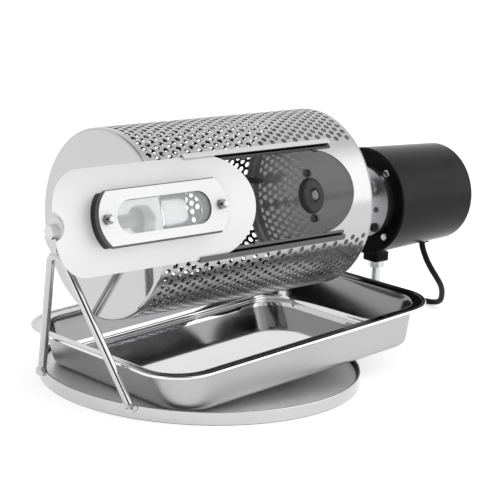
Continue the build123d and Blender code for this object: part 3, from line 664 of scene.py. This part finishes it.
# ------------------------------------------------------------------ base rim
def turned_z(name, profile, segs=240):
    """Closed (r, z) outline turned about the Z axis."""
    vs, fs = [], []
    n = len(profile)
    for k in range(segs):
        a = 2 * math.pi * k / segs
        vs += [(r * math.cos(a) * MM, r * math.sin(a) * MM, z * MM) for r, z in profile]
    for k in range(segs):
        for i in range(n):
            a, b = k * n + i, k * n + (i + 1) % n
            c_, d_ = ((k + 1) % segs) * n + (i + 1) % n, ((k + 1) % segs) * n + i
            fs.append((a, d_, c_, b))
    return new_object(name, vs, fs)


def rounded(pts, cuts, n=5):
    """Outline with its corners rounded; cuts gives each corner's radius."""
    out = []
    for k, p in enumerate(pts):
        e = cuts[k]
        a, b = Vector(pts[k - 1]), Vector(pts[(k + 1) % len(pts)])
        p = Vector(p)
        if e <= 0:
            out.append(tuple(p))
            continue
        u, w = (a - p).normalized(), (b - p).normalized()
        for i in range(n + 1):
            t = i / n
            q = p + u * e * (1 - t) ** 2 + w * e * t ** 2
            out.append(tuple(q))
    return out


ri, ro = BASE_R - RIM_T, BASE_R
prof = rounded([(ri, 0.0), (ro, 0.0), (ro, RIM_H), (ri, RIM_H)], [0.2, 0.8, 0.75, 0.75])
rim = turned_z("base_rim_ring", prof)
sharp(rim, 40)
rim.data.materials.append(M["rim"])
rim.data.materials.append(M["rim_dark"])
# painted shade: the inner wall, the inner half of the top edge and the bottom edge take the dark steel
for f in rim.data.polygons:
    c = f.center
    if math.hypot(c.x, c.y) < (BASE_R - 0.4) * MM or c.z < 0.45 * MM:
        f.material_index = 1
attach(rim, "frame")
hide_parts("base_rim")


def weld(name, x, y, seed):
    """Lumpy bead that joins a leg's foot to the rim."""
    bm = bmesh.new()
    bmesh.ops.create_icosphere(bm, subdivisions=4, radius=1.0)
    a = math.atan2(y, x)
    out, along = Vector((math.cos(a), math.sin(a), 0)), Vector((-math.sin(a), math.cos(a), 0))
    mid = Vector((x, y, 0)) + out * 0.6
    for v in bm.verts:
        s = v.co * (1.0 + 0.22 * noise.noise(v.co * 1.9 + Vector((seed, 0, 0))))
        p = mid + out * s.x * 4.5 + along * s.y * 7.0 + Vector((0, 0, 9.0 + s.z * 4.3))
        v.co = p * MM
    me = bpy.data.meshes.new(name)
    bm.to_mesh(me)
    bm.free()
    for f in me.polygons:
        f.use_smooth = True
    ob = bpy.data.objects.new(name, me)
    SCENE.collection.objects.link(ob)
    me.materials.append(M["weld"])
    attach(ob, "frame")
    return ob


weld("weld_front", -120.6, -56.0, 1.7)
weld("weld_back", -120.6, 56.0, 4.3)


# ------------------------------------------------------------------ tray
def ring(hx_, hy_, r, z, nc=20, ns=14):
    pts = []
    cs = [(hx_ - r, hy_ - r, 0), (-hx_ + r, hy_ - r, 90), (-hx_ + r, -hy_ + r, 180), (hx_ - r, -hy_ + r, 270)]
    for i, (cx, cy, a0) in enumerate(cs):
        for k in range(nc + 1):
            a = math.radians(a0 + 90 * k / nc)
            pts.append((cx + r * math.cos(a), cy + r * math.sin(a), z))
        nx = cs[(i + 1) % 4]
        a = math.radians(a0 + 90)
        p = (cx + r * math.cos(a), cy + r * math.sin(a))
        q = (nx[0] + r * math.cos(a), nx[1] + r * math.sin(a))
        for k in range(1, ns):
            f = k / ns
            pts.append((p[0] + (q[0] - p[0]) * f, p[1] + (q[1] - p[1]) * f, z))
    return pts


T = TRAY
H = T["h"]
ROLL = 1.75


def wall_ring(off, z):
    """Ring on the tapered wall at height z, moved inward by off."""
    g_ = z / H
    return (T["bx"] + (T["tx"] - T["bx"]) * g_ - off, T["by"] + (T["ty"] - T["by"]) * g_ - off, T["br"] + (T["tr"] - T["br"]) * g_ - off, z)


def rim_ring(off, z):
    return (T["hx"] - off, T["hy"] - off, T["rr"] - off, z)


f, t = T["f"], T["t"]
# inside, from the flat floor outward and up, over the flange and round the rolled edge
ins = [wall_ring(t + f + 34.0 * q, t) for q in (0.6, 0.4, 0.2, 0.1)]
fi = f - t
for k in range(8, -1, -1):
    a = math.radians(90 * k / 8)
    ins.append(wall_ring(t + fi * (1 - math.cos(a)), t + fi * (1 - math.sin(a))))
ins += [wall_ring(t, z) for z in (8, 13, 18, 24, 29, H - 3.6)]
ins += [wall_ring(t - 0.25, H - 2.6), wall_ring(t - 0.9, H - 1.8), wall_ring(t - 1.8, H - 1.4), wall_ring(t - 3.0, H - 1.3)]
ins += [rim_ring(4.4, H - 1.3), rim_ring(3.7, H - 1.2)]
for k in range(13):
    a = math.radians(165 - 255 * k / 12)
    ins.append(rim_ring(ROLL - ROLL * math.cos(a), H - ROLL + ROLL * math.sin(a)))
# underside, inward to the wall and down to the flat bottom
prof = [rim_ring(ROLL + 0.9, H - 2 * ROLL + 0.45), rim_ring(ROLL + 1.4, H - 2.2)]
under_all = [wall_ring(-2.8, H - 2.1), wall_ring(-1.2, H - 2.5), wall_ring(-0.3, H - 3.4), wall_ring(0, H - 4.8)]
under_all += [wall_ring(0, z) for z in (26, 20, 14, 9)]
for k in range(9):
    a = math.radians(90 * k / 8)
    under_all.append(wall_ring(f * (1 - math.cos(a)), f * (1 - math.sin(a))))
under_all += [wall_ring(f + 34.0 * q, 0.0) for q in (0.1, 0.3, 0.6)]
stack = ins + prof + under_all
rings = [ring(*r_) for r_ in stack]
n = len(rings[0])
vs, fs = [], []
rot = Matrix.Rotation(math.radians(-T["tilt"]), 4, "Y")
for rg in rings:
    for p in rg:
        q = rot @ Vector(p) + Vector((T["x"], T["y"], T["z"]))
        vs.append(q * MM)
for k in range(len(rings) - 1):
    for i in range(n):
        j = (i + 1) % n
        fs.append((k * n + i, k * n + j, (k + 1) * n + j, (k + 1) * n + i))
fs.append(tuple(reversed(range(n))))
last = (len(rings) - 1) * n
fs.append(tuple(range(last, last + n)))
tray = new_object("tray_pressed", vs, fs)
if tray.data.polygons[len(fs) - 2].normal.z < 0:
    tray.data.flip_normals()
sharp(tray, 45)
tray.data.materials.append(M["tray"])
tray.data.materials.append(M["tray_roll"])
tray.data.materials.append(M["tray_flange"])
tray.data.materials.append(M["tray_wall"])
tray.data.materials.append(M["tray_side"])


def tray_finish(i):
    # floor and cove, inner wall (painted shade), flange (painted reflection), rolled edge (painted highlight), outside
    # (painted shade)
    if i == len(fs) - 2:
        return 0
    k_ = i // n
    return 0 if k_ < 13 else 4 if k_ < 20 else 2 if k_ < 31 else 1 if k_ < len(ins) - 1 else 3


tray.data.polygons.foreach_set("material_index", [tray_finish(i) for i in range(len(tray.data.polygons))])
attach(tray, "tray")
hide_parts("tray_pan")

# ------------------------------------------------------------------ floor and light
floor = new_object("studio_floor", [(-9, -9, 0), (9, -9, 0), (9, 9, 0), (-9, 9, 0)], [(0, 1, 2, 3)])
k = Mat("studio_floor")
k.set(Roughness=0.8)
k.p.inputs["Base Color"].default_value = (0.82, 0.82, 0.82, 1)
k.p.inputs["Specular IOR Level"].default_value = 0.1
k.p.inputs["Emission Color"].default_value = (1, 1, 1, 1)
k.p.inputs["Emission Strength"].default_value = 0.42
floor.data.materials.append(k.mat)

world = bpy.data.worlds.new("studio")
SCENE.world = world
world.use_nodes = True
wn = world.node_tree
bg = next(n_ for n_ in wn.nodes if n_.type == "BACKGROUND")
tc = wn.nodes.new("ShaderNodeTexCoord")


def wmath(op, a, b=None):
    n_ = wn.nodes.new("ShaderNodeMath")
    n_.operation = op
    for i_, v_ in enumerate((a, b)):
        if v_ is None:
            continue
        if isinstance(v_, (int, float)):
            n_.inputs[i_].default_value = v_
        else:
            wn.links.new(v_, n_.inputs[i_])
    return n_.outputs[0]


def wdot(v_):
    n_ = wn.nodes.new("ShaderNodeVectorMath")
    n_.operation = "DOT_PRODUCT"
    wn.links.new(tc.outputs["Generated"], n_.inputs[0])
    n_.inputs[1].default_value = v_
    return n_.outputs["Value"]


def wstep(s_, a, b):
    n_ = wn.nodes.new("ShaderNodeMapRange")
    n_.interpolation_type = "SMOOTHSTEP"
    n_.inputs["From Min"].default_value = a
    n_.inputs["From Max"].default_value = b
    wn.links.new(s_, n_.inputs["Value"])
    return n_.outputs["Result"]


height = wdot((0, 0, 1))
walls = wmath("SUBTRACT", 1.0, wmath("MULTIPLY", wstep(height, 0.70, 0.92), 0.55))
front = wmath("MULTIPLY", wstep(wdot((0.667, -0.707, 0.235)), 0.72, 0.96), 0.90)
camera_side = wmath("MULTIPLY", wstep(wdot((-0.667, -0.71, 0.12)), 0.80, 0.90), 0.97)
level = wmath("SUBTRACT", wmath("ADD", walls, front), camera_side)
wn.links.new(level, bg.inputs["Color"])
bg.inputs["Strength"].default_value = 1.0


def softbox(name, pos, target, size, power, colour=(1, 1, 1)):
    li = bpy.data.lights.new(name, "AREA")
    li.shape = "RECTANGLE"
    li.size, li.size_y = size
    li.energy = power
    li.color = colour
    ob = bpy.data.objects.new(name, li)
    SCENE.collection.objects.link(ob)
    ob.location = pos
    ob.rotation_euler = (Vector(target) - Vector(pos)).to_track_quat("-Z", "Y").to_euler()
    ob.visible_camera = False
    return ob


softbox("top", (0.5, -0.7, 1.9), (0.03, 0, 0.1), (1.4, 1.0), 4)
fill = softbox("fill", (-1.15, -1.25, 0.42), (-0.1, -0.08, 0.16), (0.6, 0.6), 11)
fill.visible_glossy = False
